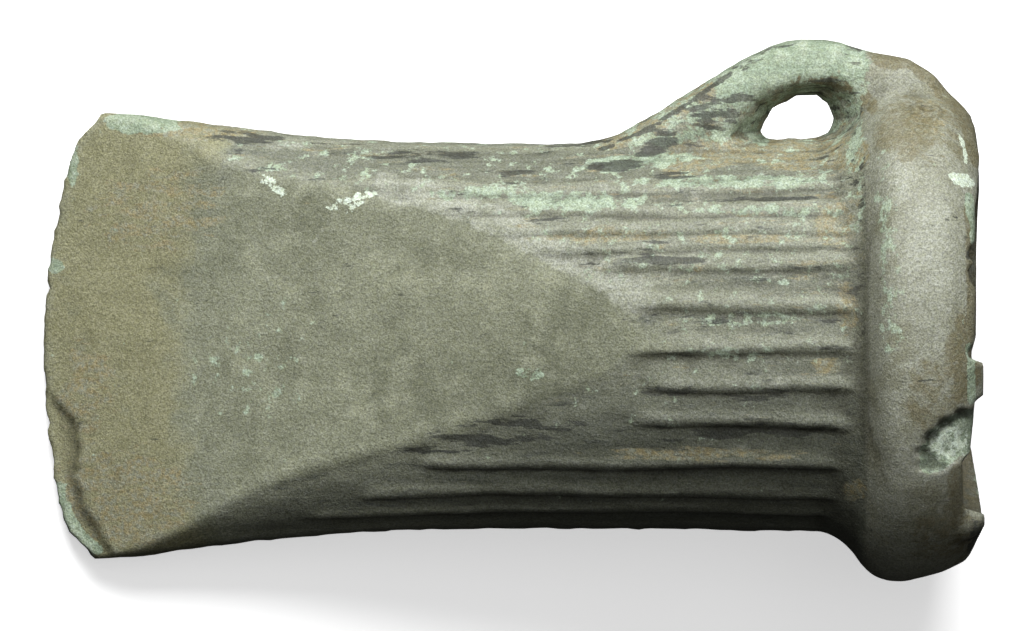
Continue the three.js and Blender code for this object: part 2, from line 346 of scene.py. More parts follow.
def outlineGap(x, y, corners):
    # signed distance in plan to a closed outline, negative inside
    corners = np.array(corners, float)
    inside = np.zeros(len(x), bool)
    nearest = np.full(len(x), 1e9)
    for (ax, ay), (bx, by) in zip(corners, np.roll(corners, -1, 0)):
        ex, ey = bx - ax, by - ay
        t = np.clip(((x - ax) * ex + (y - ay) * ey) / (ex * ex + ey * ey), 0, 1)
        nearest = np.minimum(nearest, np.hypot(x - ax - t * ex, y - ay - t * ey))
        if ey:
            inside ^= ((ay > y) != (by > y)) & (x < ax + (y - ay) * ex / ey)
    return np.where(inside, -nearest, nearest)


def edgeReach(x, y):
    # how far a point lies inside the curved cutting edge
    return blade["edgeRadius"] - np.hypot(x - blade["edgeRadius"], y - blade["edgeCentreY"])


def edgeWear(y):
    wear = waves(y, blade["wear"])
    for place, depth, halfWidth in blade["nicks"]:
        wear = wear + depth * np.exp(-(((y - place) / halfWidth) ** 2))
    return wear


def bodyGap(points):
    x, y, z = points.T
    gap = ovalGap(y, z, body["halfWidth"](x), body["halfThickness"](x), body["squareness"])
    share, tall = ribShare(points)
    facet = (np.abs(z) - facetHeight(x, y, z)) * blade["facetLean"]
    fade = smoothStep(*blade["grooveFade"], -facet) * (1 - smoothStep(*ribs["endX"], x))
    gap = gap + tall * (1 - share) * fade
    reach = edgeReach(x, y)
    slope = (blade["bevelHalfThickness"] - blade["edgeHalfThickness"]) / blade["bevelLength"]
    bevel = np.abs(z) - blade["edgeHalfThickness"] - slope * reach
    bevel = np.where(x > blade["bevelEndX"], wellInside, bevel) * blade["bevelLean"]
    lost = (x < blade["wornX"]) & (z > -0.5)
    if lost.any():
        flake = outlineGap(x[lost], y[lost], blade["flake"])
        flake = flake + 0.12 * np.sin(y[lost] * 3.1 + x[lost] * 2)
        gone = (1 - smoothStep(-0.25, 0.2, flake)) * smoothStep(0, 0.5, z[lost])
        bevel[lost] += blade["flakeDepth"] * gone
    flat = smoothMax(facet, bevel, blade["bevelSoftness"])
    gap = smoothMax(gap, flat, blade["facetSoftness"])
    worn = np.where(x > blade["wornX"], wellInside, edgeWear(y) - reach)
    return smoothMax(gap, worn, blade["edgeSoftness"])


def collarGap(points):
    gap = np.full(len(points), float(wellOutside))
    near = points[:, 0] > collar["startX"]
    x, y, z = points[near].T
    a, b = body["halfWidth"](x), body["halfThickness"](x)
    face = np.clip(np.abs(z) / b, 0, 1) ** 2
    swell = collar["sideSwell"](x) * (1 - face) + collar["faceSwell"](x) * face
    gap[near] = ovalGap(y, z, a + swell, b + swell, body["squareness"])
    scarred = near & (points[:, 0] > 82) & (points[:, 2] > 6) & (np.abs(points[:, 1] + 10) < 6)
    x, y, z = points[scarred].T
    scar = outlineGap(x, y, collar["scar"]) + 0.15 * np.sin(x * 3.3 + y) + 0.1 * np.sin(y * 4.7)
    rough = 0.12 * np.sin(x * 2.1) * np.sin(y * 2.6 + 1)
    deeper = np.clip(1 + collar["scarTilt"] * (y - collar["scarMiddleY"]), 0.3, 1.7)
    gap[scarred] += (collar["scarDepth"] * deeper + rough) * (1 - smoothStep(-0.5, 0.15, scar))
    return gap


def loopGap(points):
    gap = np.full(len(points), float(wellOutside))
    near = (points[:, 0] > 46) & (points[:, 0] < 92) & (points[:, 1] > 5)
    x, y, z = points[near].T
    plan = outlineGap(x, y, loop["outline"])
    strap = smoothMax(plan, np.abs(z) - loop["halfWidth"], loop["roundness"])
    opening = np.clip(np.abs(z) / loop["flareZ"], 0, 1.2) ** loop["flarePower"]
    cx, cy = loop["eyeCentre"]
    growX, growY = [1 + (grow - 1) * opening for grow in loop["flare"]]
    eye = outlineGap((x - cx) / growX + cx, (y - cy) / growY + cy, loop["eye"])
    eye = eye * (growX + growY) / 2
    gap[near] = smoothMax(strap, -eye * loop["eyeLean"], loop["eyeRoundness"])
    return gap


def hollowGap(points):
    # how far a point lies outside the socket's oval, whatever its depth
    x, y, z = points.T
    a, b = socket["halfWidth"](x), socket["halfThickness"](x)
    return ovalGap(y, z, a, b, socket["squareness"])


def rimPlace(y, z):
    near = np.interp(y, *np.array(rim["near"]).T)
    far = np.interp(y, *np.array(rim["far"]).T)
    return far + (near - far) * smoothStep(*rim["turnOver"], z)


def castingGap(points):
    # how far a point lies outside the finished casting
    x, y, z = points.T
    outer = smoothMin(bodyGap(points), collarGap(points), collar["blend"])
    outer = smoothMin(outer, loopGap(points), loop["blend"])
    stump = rim["stump"]
    lump = np.linalg.norm(points - np.array(stump["at"]), axis=1) - stump["radius"]
    outer = smoothMin(outer, lump, stump["blend"])
    beyond = np.where(x > rim["startX"], x - rimPlace(y, z), x - rim["plainEndX"])
    outer = smoothMax(outer, beyond * rim["lean"], rim["roundness"])
    hollow = smoothMax(hollowGap(points), socketFloorX - x, socket["floorRoundness"])
    return smoothMax(outer, -hollow, socket["lipRoundness"])


def gapSlope(points):
    step = 0.05
    slope = np.zeros_like(points)
    for axis in range(3):
        shift = np.zeros(3)
        shift[axis] = step
        slope[:, axis] = (castingGap(points + shift) - castingGap(points - shift)) / (2 * step)
    return slope


def outwardNormal(points):
    slope = gapSlope(points)
    return slope / np.maximum(np.linalg.norm(slope, axis=1), 1e-6)[:, None]


# the piece

casting = {
    "voxel": 0.44,
    "stretch": (0.8, 1.3, 1.15),  # finer faces across the ribs than along them
    "socketShare": 0.62,  # how many faces are kept, the fewer being taken out of the socket alone
    "unevenness": [[9, 0.11], [3.2, 0.05], [1.3, 0.03]],  # size of the lumps, height
    "streaks": {"size": [6, 0.5, 0.55], "height": 0.07},
    "sideFlash": 0.2,
    # how often specks of each colour appear
    "scattered": {"green": 0.3, "ochre": 0.27, "dark": 0.2, "pale": 0.22},
    "inset": 0.02,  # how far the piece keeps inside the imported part's box
}


def readPoints(mesh):
    flat = np.empty(len(mesh.vertices) * 3)
    mesh.vertices.foreach_get("co", flat)
    return flat.reshape(-1, 3)


def writePoints(mesh, points):
    mesh.vertices.foreach_set("co", np.ascontiguousarray(points).ravel())
    mesh.update()


def meshFrom(piece):
    # the piece's mesh with its modifiers applied
    bpy.context.view_layer.update()
    evaluated = piece.evaluated_get(bpy.context.evaluated_depsgraph_get())
    shaped = bpy.data.meshes.new_from_object(evaluated)
    piece.modifiers.clear()
    return shaped


def startCasting():
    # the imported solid, merged and cut into fine even faces
    mesh = frame["nodes"]["axe_head"].data.copy()
    mesh.materials.clear()
    bm = bmesh.new()
    bm.from_mesh(mesh)
    bmesh.ops.remove_doubles(bm, verts=bm.verts, dist=1e-6)
    bm.to_mesh(mesh)
    bm.free()
    piece = bpy.data.objects.new("bronze_axe", mesh)
    bpy.context.scene.collection.objects.link(piece)
    stretch = np.array(casting["stretch"])
    writePoints(mesh, toAxe(readPoints(mesh)) * stretch)
    remesh = piece.modifiers.new("even_faces", "REMESH")
    remesh.mode = "VOXEL"
    remesh.voxel_size = casting["voxel"]
    piece.data = meshFrom(piece)
    writePoints(piece.data, readPoints(piece.data) / stretch)
    thinSocket(piece)
    print("even faces:", len(piece.data.vertices), "points,", len(piece.data.polygons), "faces")
    return piece


def thinSocket(piece):
    # larger faces inside the socket, where little shows
    points = readPoints(piece.data)
    x = points[:, 0]
    deep = np.flatnonzero((hollowGap(points) < 0.3) & (x > socketFloorX - 0.5) & (x < 84))
    group = piece.vertex_groups.new(name="deep_socket")
    group.add(deep.tolist(), 1.0, "REPLACE")
    thin = piece.modifiers.new("fewer_faces", "DECIMATE")
    thin.ratio = casting["socketShare"]
    thin.vertex_group = group.name
    thinned = meshFrom(piece)
    piece.vertex_groups.clear()
    piece.data = thinned


def pressToForm(points, rounds):
    for _ in range(rounds):
        slope = gapSlope(points)
        steep = np.maximum((slope**2).sum(1), 0.25)
        move = slope * (castingGap(points) / steep)[:, None]
        far = np.linalg.norm(move, axis=1)
        points = points - move * (np.minimum(far, 0.5) / np.maximum(far, 1e-9))[:, None]
    return points


def smoothPoints(mesh, points, share, rounds):
    # evens out the spacing of the points
    edges = np.empty(len(mesh.edges) * 2, int)
    mesh.edges.foreach_get("vertices", edges)
    a, b = edges.reshape(-1, 2).T
    count = np.bincount(a, minlength=len(points)) + np.bincount(b, minlength=len(points))
    for _ in range(rounds):
        total = np.zeros_like(points)
        for axis in range(3):
            total[:, axis] = np.bincount(a, points[b, axis], len(points))
            total[:, axis] += np.bincount(b, points[a, axis], len(points))
        points = points + share * (total / np.maximum(count, 1)[:, None] - points)
    return points


def addRelief(points):
    # lumps, streaks along the ribs, the mould's seam and the ringed knob, raised along the normals
    x, y, z = points.T
    normal = outwardNormal(points)
    outside = np.clip(smoothStep(0.3, 1.2, hollowGap(points)) + (x < socketFloorX), 0, 1)
    raised = np.zeros(len(x))
    for seed, (size, height) in enumerate(casting["unevenness"]):
        raised += height * cloudNoise(points, (size, size, size), seed + 11)
    tube = smoothStep(20, 34, x) * (1 - smoothStep(75, 78, x))
    tube *= smoothStep(0.2, 1.2, facetHeight(x, y, z) - np.abs(z))
    streaks = casting["streaks"]
    height = streaks["height"] * tube
    raised += height * cloudNoise(points, streaks["size"], 31) * smoothStep(-6, 8, y)
    raised += 0.4 * height * cloudNoise(points, streaks["size"], 37)
    seam = np.exp(-((z / 0.45) ** 2)) * (np.abs(y) > 0.8 * body["halfWidth"](x))
    seam *= (1 - smoothStep(74, 78, x)) * smoothStep(4, 9, x)
    ragged = 0.5 + 0.5 * cloudNoise(points * (1, 0, 0), (1.1, 1, 1), 41)
    raised += casting["sideFlash"] * seam * ragged * ragged
    knob = collar["knob"]
    away = np.linalg.norm(points - np.array(knob["at"]), axis=1)
    raised += knob["ring"] * np.exp(-(((away - knob["radius"]) / 0.3) ** 2))
    raised += knob["boss"] * np.exp(-((away / 0.45) ** 2))
    raised *= 0.3 + 0.7 * outside  # little of it inside the socket and by the thin edge
    raised *= 0.25 + 0.75 * smoothStep(0.2, 3, edgeReach(x, y))
    return points + normal * raised[:, None]


def keepInBox(points):
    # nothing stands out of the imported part's box
    low = np.array(cadLow) + casting["inset"] * 0.001
    high = np.array(cadHigh) - casting["inset"] * 0.001
    low[2] = cadLow[2]
    return np.clip(points, low, high)


# the patina: where each colour lies, in plan. Sizes are half lengths along x and y, turns are
# degrees, and a face of 1 is the upper one, -1 the lower one and 0 both.

patches = {
    "green": [
        {"at": (9.6, 20.4), "size": (3.6, 1.3), "face": 0},
        {"at": (2.8, 16.2), "size": (0.7, 2.0)},
        {"at": (1.2, 6.7), "size": (0.8, 0.7)},
        {"line": [(1.5, -14.6), (2.3, -17), (3.4, -18.8), (5.2, -20.4)], "width": 0.6},
        {
            "line": [(65.9, 23.8), (69, 25.8), (72.5, 26.7), (75.4, 26.6), (77, 25.8)],
            "width": 2.1, "face": 0,
        },
        {"at": (63.4, 21.4), "size": (2.8, 0.9), "turn": 25, "strength": 0.75},
        {"at": (61.8, 19.2), "size": (2.4, 0.8), "turn": 20, "strength": 0.7},
        {"at": (56.5, 16.6), "size": (6, 1.0), "turn": 6, "strength": 0.72},
        {"at": (50, 12.9), "size": (7.5, 1.1), "strength": 0.68},
        {"at": (66, 14.7), "size": (10, 0.7), "strength": 0.7},
        {"at": (69, 11.9), "size": (8, 0.6), "strength": 0.62},
        {"at": (41, 13.6), "size": (5.5, 0.7), "strength": 0.6},
        {"at": (67, 1.6), "size": (7, 0.8), "strength": 0.5},
        {"at": (66, -1.7), "size": (7, 0.7), "strength": 0.45},
        {"at": (46.5, -3.6), "size": (1.6, 0.7), "strength": 0.7},
        {"at": (20, -3), "size": (6, 6), "strength": 0.3},
        {"at": (68.6, 18.7), "size": (0.9, 0.6)},
        {"line": [(88.1, 13.2), (88.5, 10.8), (88.7, 8.9)], "width": 0.45},
        # the collar's pale green, partly a painted highlight along its rising left edge
        {"line": [(80.3, 17), (80.5, 8), (80.7, -1)], "width": 1.1, "strength": 0.42},
        {"line": [(88, -1), (88.3, -1.9), (88.3, -6)], "width": 0.4},
        {"at": (89.7, -13.5), "size": (0.6, 2.8), "face": 0},
        {"at": (30, -4), "size": (7, 3.5), "turn": 20, "face": -1, "strength": 0.7},
        {"at": (9, -12), "size": (5, 4), "face": -1, "strength": 0.7},
        {"at": (66, 4), "size": (9, 1.5), "face": -1, "strength": 0.75},
        {"at": (58, -9), "size": (8, 1.2), "face": -1, "strength": 0.7},
        {"at": (83, -6), "size": (3, 5), "face": -1, "strength": 0.7},
        {"at": (85, 12), "size": (2.4, 3.5), "face": -1, "strength": 0.65},
    ],
    "ochre": [
        {"line": [(60.5, 16.6), (66, 18.1), (72, 17.4), (77, 17.6)], "width": 1.7},
        {"at": (84.3, 20.8), "size": (2.3, 1.7), "strength": 0.8},
        {"at": (75.4, 10.5), "size": (2, 2.6), "strength": 0.8},
        {"at": (76.6, 2.4), "size": (1.1, 2.6), "strength": 0.8},
        {"at": (74.8, -2.7), "size": (1.6, 0.8), "strength": 0.8},
        {"at": (66, 9.2), "size": (5.4, 0.6), "strength": 0.75},
        {"at": (53.6, 9.5), "size": (6.4, 0.7), "strength": 0.7},
        {"at": (62.5, 6.4), "size": (0.6, 0.3)},
        {"line": [(53.5, 18.4), (58.5, 20.4), (62, 22.7), (65, 24.7)], "width": 1.0},
        {"at": (77.3, -14.6), "size": (1.3, 1.1), "strength": 0.8},
        {"at": (15, 19.5), "size": (6.5, 1), "face": 0, "strength": 0.75},
        {"at": (7.5, -15.5), "size": (7.5, 5), "strength": 0.66},
        {"at": (4.2, -5.5), "size": (3.2, 5), "strength": 0.62},
        {"at": (11, 12), "size": (7, 4.5), "strength": 0.55},
        {"at": (62, -11.3), "size": (12, 0.8), "strength": 0.62},
        {"at": (48, 12), "size": (12, 5), "face": -1, "strength": 0.6},
        {"at": (14, 8), "size": (8, 6), "face": -1, "strength": 0.6},
        {"at": (74, -4), "size": (3, 6), "face": -1, "strength": 0.7},
    ],
    "brown": [
        {
            "line": [(79.7, 28.2), (82.5, 26.8), (85, 24.8), (88, 21.2), (89.3, 17)],
            "width": 1.1, "face": 0,
        },
        {"at": (81.2, 27.0), "size": (2.6, 1.7), "face": 0},
        {"line": [(68.6, 24.1), (71.3, 24.7), (74.2, 24.7), (76.8, 24), (79, 22)], "width": 0.75},
        {"at": (87.2, -2.5), "size": (1.6, 4.6), "strength": 0.85},
        {"at": (84.6, -6), "size": (3.4, 4.5), "strength": 0.6},
        {"at": (86, -18.6), "size": (4, 3), "strength": 0.6},
        {"at": (82.5, 19.5), "size": (3.4, 3.6), "strength": 0.75},
        {"line": [(88.4, 12), (88.6, 4), (88.6, -4)], "width": 0.8, "strength": 0.85},
        {"at": (87.1, -14.6), "size": (1.1, 2.8)},
        # the far rim's brown, partly painted light: lighter than the shaded socket wall it lies on
        {"at": (89.4, 5), "size": (0.9, 10), "face": -1, "strength": 0.6},
        {"at": (86.5, 20), "size": (3, 4), "strength": 0.55},
        {"at": (84, 4), "size": (4, 7), "face": -1, "strength": 0.7},
        {"at": (22, 2), "size": (9, 12), "face": -1, "strength": 0.45},
    ],
    "dark": [
        {"at": (66.9, 22.9), "size": (1.9, 0.55), "turn": 14},
        {"at": (65.6, 20.9), "size": (0.8, 0.8), "strength": 0.9},
        {"at": (63.9, 21.1), "size": (1.8, 0.35), "turn": 28, "strength": 0.8},
        {"at": (58.7, 18.2), "size": (2.2, 0.9), "turn": 24},
        {"at": (54.5, 16.3), "size": (2.6, 0.6), "turn": 4},
        {"at": (60.5, 15.3), "size": (2.6, 0.45), "strength": 0.8},
        {"line": [(53.2, 17.7), (58, 19.9), (62, 22.5), (65.6, 25)], "width": 0.22},
        {"at": (19.6, 18.9), "size": (5, 0.6), "strength": 0.65, "face": 0},
        {"at": (51, 18.4), "size": (7, 0.45), "strength": 0.6, "face": 0},
        {"at": (36, 17.2), "size": (6, 0.5), "strength": 0.7},
        {"at": (44, 15.6), "size": (4, 0.4), "strength": 0.7},
        {"at": (68, 13.1), "size": (4, 0.35), "strength": 0.7},
        {"at": (60, 7.2), "size": (5, 0.5), "strength": 0.75},
        # painted shade in the dent in the near rim
        {"at": (88.2, 7.8), "size": (0.5, 0.5)},
        # painted shade on the right-facing end of the lower lobe
        {"at": (89, -19.6), "size": (0.9, 2.2), "strength": 0.9},
        {"at": (44, -9), "size": (9, 1.8), "turn": 8, "strength": 0.62},
        {"at": (66, -9), "size": (10, 1.2), "strength": 0.62},
        {"at": (65, -5.4), "size": (9, 0.8), "strength": 0.6},
        {"at": (58, 2), "size": (14, 2), "face": -1, "strength": 0.6},
        {"at": (45, -12), "size": (12, 1.6), "face": -1, "strength": 0.65},
    ],
    "pale": [
        {"line": [(33, 14.2), (40, 12.4), (48, 8.8), (55.5, 4.6)], "width": 1.6, "strength": 0.8},
        {"at": (56, 4.4), "size": (4, 2.2), "turn": -22, "strength": 0.8},
        {"line": [(26, 9), (27, 10.6), (27.9, 11.6)], "width": 0.22, "strength": 0.8},
        {"at": (81.6, 15.5), "size": (1.6, 3), "strength": 0.7},
        {"at": (84.5, 8), "size": (3, 7), "strength": 0.62},
        {"at": (87, -16.4), "size": (1.6, 1.1), "strength": 0.9},
        {"line": [(81, -3.1), (82.6, -2.5), (84.3, -1.8)], "width": 0.14, "strength": 0.8},
        {
            "line": [(74.4, 23.5), (76.3, 22.3), (77.5, 20.6), (77.9, 19.2)],
            "width": 0.2, "strength": 0.85,
        },
        {"line": [(62.6, 17.8), (65, 19.6), (66.6, 21)], "width": 0.32, "strength": 0.85},
        {"line": [(84, -13.4), (85.8, -13), (87.4, -11.6)], "width": 0.35},
        # painted highlight on the far socket wall seen through the broken rim
        {"at": (88.1, -15), "size": (0.6, 2), "face": -1},
        {"at": (36, 9), "size": (12, 2), "turn": -20, "face": -1, "strength": 0.6},
    ],
    "white": [
        {"at": (87.5, 14.8), "size": (1.3, 0.6), "turn": -18},
        {"at": (86, -9.9), "size": (2.2, 1.9), "turn": 20, "strength": 0.62},
        {"line": [(87.3, 19), (87.7, 18.1), (87.9, 16.6)], "width": 0.2, "strength": 0.8},
        {"line": [(21, 15), (21.9, 14.6), (22.8, 13.7)], "width": 0.5, "strength": 0.66},
        {"line": [(27.6, 12.3), (29.3, 13.1), (31.5, 13.6)], "width": 0.42, "strength": 0.6},
        {"line": [(29, 11.9), (30.4, 12.7)], "width": 0.3, "strength": 0.6},
    ],
}


def patchMask(points, patch):
    x, y, z = points.T
    if "line" in patch:
        path = np.array(patch["line"])
        away = np.full(len(x), 1e9)
        for (ax, ay), (bx, by) in zip(path[:-1], path[1:]):
            ex, ey = bx - ax, by - ay
            t = np.clip(((x - ax) * ex + (y - ay) * ey) / (ex * ex + ey * ey), 0, 1)
            away = np.minimum(away, np.hypot(x - ax - t * ex, y - ay - t * ey))
        away = away / patch["width"]
    else:
        turn = math.radians(patch.get("turn", 0))
        dx, dy = x - patch["at"][0], y - patch["at"][1]
        alongPatch = dx * math.cos(turn) + dy * math.sin(turn)
        acrossPatch = dy * math.cos(turn) - dx * math.sin(turn)
        away = np.hypot(alongPatch / patch["size"][0], acrossPatch / patch["size"][1])
    mask = patch.get("strength", 1) * (1 - smoothStep(0.55, 1.45, away))
    face = patch.get("face", 1)
    if face:
        mask = mask * smoothStep(-1.5, 0.5, z * face)
    return mask


def bendOf(mesh, points, normal, rounds):
    # how far the surface bulges, in millimetres: above 0 on edges, below 0 in creases
    return ((points - smoothPoints(mesh, points, 1, rounds)) * normal).sum(1)


def paintMasks(mesh, points, normal):
    x, y, z = points.T
    reach = edgeReach(x, y)
    clear = facetHeight(x, y, z) - np.abs(z)
    inside = 1 - smoothStep(0.1, 0.7, hollowGap(points))
    inside = inside * smoothStep(socketFloorX - 1, socketFloorX, x)
    onCollar = smoothStep(77.9, 78.8, x)
    onBevel = 1 - smoothStep(-4, 4, reach - blade["bevelLength"])
    onFacet = (1 - smoothStep(0.05, 0.6, clear)) * (1 - onCollar)
    onFacet = np.maximum(onFacet, 1 - smoothStep(13, 15, reach))
    share = ribShare(points)[0]
    onTube = (1 - onFacet) * (1 - onCollar) * (1 - inside)
    beside = ovalGap(y, z, body["halfWidth"](x), body["halfThickness"](x), body["squareness"])
    onLoop = smoothStep(0.3, 1.2, beside) * (y > 0) * (1 - onCollar)
    onRibs = onTube * (1 - onLoop)
    # painted shade, darker towards the lower side of the upper face
    lower = smoothStep(-2, 9, -y) * smoothStep(32, 46, x) * (z > 0)
    bend = bendOf(mesh, points, normal, 3)
    wide = bendOf(mesh, points, normal, 12)
    masks = {
        "facet": onFacet * (1 - inside),
        "bevel": onBevel,
        "collar": onCollar * (1 - inside),
        "hollow": inside,
        "groove": onRibs * (1 - share) * smoothStep(14, 24, x) * smoothStep(0.3, 1.5, clear),
        "crest": onRibs * share,
        "shade": lower * (1 - onCollar) * (1 - 0.45 * onFacet),
        "worn": np.clip(bend / 0.05, 0, 1) * 0.6 + np.clip(wide / 0.25, 0, 1) * 0.4,
        # painted shade in the creases, where the surface bends inward
        "creaseShade": np.clip(-bend / 0.04, 0, 1) * 0.6 + np.clip(-wide / 0.2, 0, 1) * 0.5,
    }
    speckled = (onTube + 0.8 * onLoop) * smoothStep(-20, 10, y * np.sign(z + 0.01))
    for paint, places in patches.items():
        total = casting["scattered"].get(paint, 0) * speckled
        for patch in places:
            total = np.maximum(total, patchMask(points, patch))
        masks[paint] = total * (1 - 0.6 * inside)
    scarred = (1 - smoothStep(-0.4, 0.3, outlineGap(x, y, collar["scar"]))) * (z > 6)
    masks["green"] = np.maximum(masks["green"], scarred)
    masks["brown"] = masks["brown"] * (1 - scarred)
    for name, mask in masks.items():
        layer = mesh.attributes.new(name, "FLOAT", "POINT")
        layer.data.foreach_set("value", np.clip(mask, 0, 1).astype(np.float32))
    print("patina masks:", ", ".join(masks))


def makeAxe():
    piece = startCasting()
    mesh = piece.data
    points = pressToForm(readPoints(mesh), 3)
    points = pressToForm(smoothPoints(mesh, points, 0.35, 2), 3)
    print("left over:", round(float(np.percentile(np.abs(castingGap(points)), 99.5)), 3), "mm")
    points = addRelief(points)
    paintMasks(mesh, points, outwardNormal(points))
    writePoints(mesh, keepInBox(fromAxe(points)))
    for polygon in mesh.polygons:
        polygon.use_smooth = True
    return piece


# the bronze and its patina

bronze = {  # colours as red, green, blue from 0 to 255; sizes in millimetres
    "facet": (121, 124, 104),
    "facetLight": (132, 135, 114),
    "facetDim": (104, 107, 88),
    "bevel": (128, 126, 94),
    "tube": (114, 117, 100),
    "streak": (126, 129, 112),
    "slate": (84, 88, 80),
    # painted shade for the lower half of the upper face
    "shade": (66, 69, 60),
    "groove": (98, 101, 88),
    "crest": (122, 125, 110),
    "collar": (131, 133, 118),
    "collarDim": (112, 112, 93),
    "hollow": (92, 88, 68),
    "green": (153, 168, 146),
    "greenDim": (126, 142, 120),
    "ochre": (132, 122, 88),
    "brown": (100, 93, 65),
    "dark": (54, 56, 50),
    "pale": (146, 149, 135),
    "white": (190, 202, 184),
    # painted shade for the creases
    "creaseShade": (48, 46, 34),
    "grainSize": 0.17,
    "sandSize": 0.34,
    "speckSize": 0.62,
    "blotchSize": 1.5,
    "cloudSize": 3.2,
    "broadSize": 9,
    # how dark and how light each pattern turns the colour, and how much sand warms it
    "grainShade": (0.58, 1.42),
    "sandShade": (0.84, 1.16),
    "streakShade": (0.92, 1.08),
    "sandWarmth": (0.92, 1.08),
    "grainDepth": 0.05,
    "sandHeight": 1.5,
    "blotchHeight": 1.2,
    "roughness": (0.5, 0.8),
    "specular": 0.35,
}


def tint(name):
    # a named colour as the linear values that the shader takes
    shares = np.array(bronze[name]) / 255
    linear = np.where(shares < 0.04, shares / 12.92, ((shares + 0.055) / 1.055) ** 2.4)
    return (*linear.tolist(), 1)


def addNode(tree, kind, inputs=None, **settings):
    made = tree.nodes.new(kind)
    for name, value in settings.items():
        setattr(made, name, value)
    for key, value in (inputs or {}).items():
        if isinstance(value, bpy.types.NodeSocket):
            tree.links.new(value, made.inputs[key])
        else:
            made.inputs[key].default_value = value
    return made


def addNoise(tree, spot, size, detail=4, stretch=(1, 1, 1), roughness=0.55, move=(0, 0, 0)):
    scale = [1 / (size * share) for share in stretch]
    scaled = addNode(
        tree, "ShaderNodeMapping", {"Vector": spot, "Location": move, "Scale": scale}
    ).outputs[0]
    noise = addNode(
        tree,
        "ShaderNodeTexNoise",
        {"Vector": scaled, "Scale": 1, "Detail": detail, "Roughness": roughness},
    )
    return noise.outputs["Fac"]


def addSum(tree, first, second, how="ADD"):
    return addNode(tree, "ShaderNodeMath", {0: first, 1: second}, operation=how).outputs[0]


def addRange(tree, value, low, high, toLow=0, toHigh=1, kind="SMOOTHSTEP"):
    ranged = addNode(
        tree,
        "ShaderNodeMapRange",
        {"Value": value, "From Min": low, "From Max": high, "To Min": toLow, "To Max": toHigh},
        interpolation_type=kind,
    )
    return ranged.outputs[0]


def addBlend(tree, share, first, second, how="MIX"):
    sockets = {0: share, 6: first, 7: second}  # the ones for colours
    blend = addNode(tree, "ShaderNodeMix", sockets, data_type="RGBA", blend_type=how)
    return blend.outputs[2]


def addMask(tree, name):
    return addNode(tree, "ShaderNodeAttribute", attribute_name=name).outputs["Fac"]


def broken(tree, name, noise, spread, low=0.42, high=0.58):
    # a mask whose border and inside are broken up by noise
    shifted = addSum(tree, addSum(tree, noise, 0.5, "SUBTRACT"), spread, "MULTIPLY")
    return addRange(tree, addSum(tree, addMask(tree, name), shifted), low, high)


def addPaint(tree, share, under, over, most=1.0):
    # lays one colour over another, at most this strongly
    return addBlend(tree, addSum(tree, share, most, "MULTIPLY"), under, over)


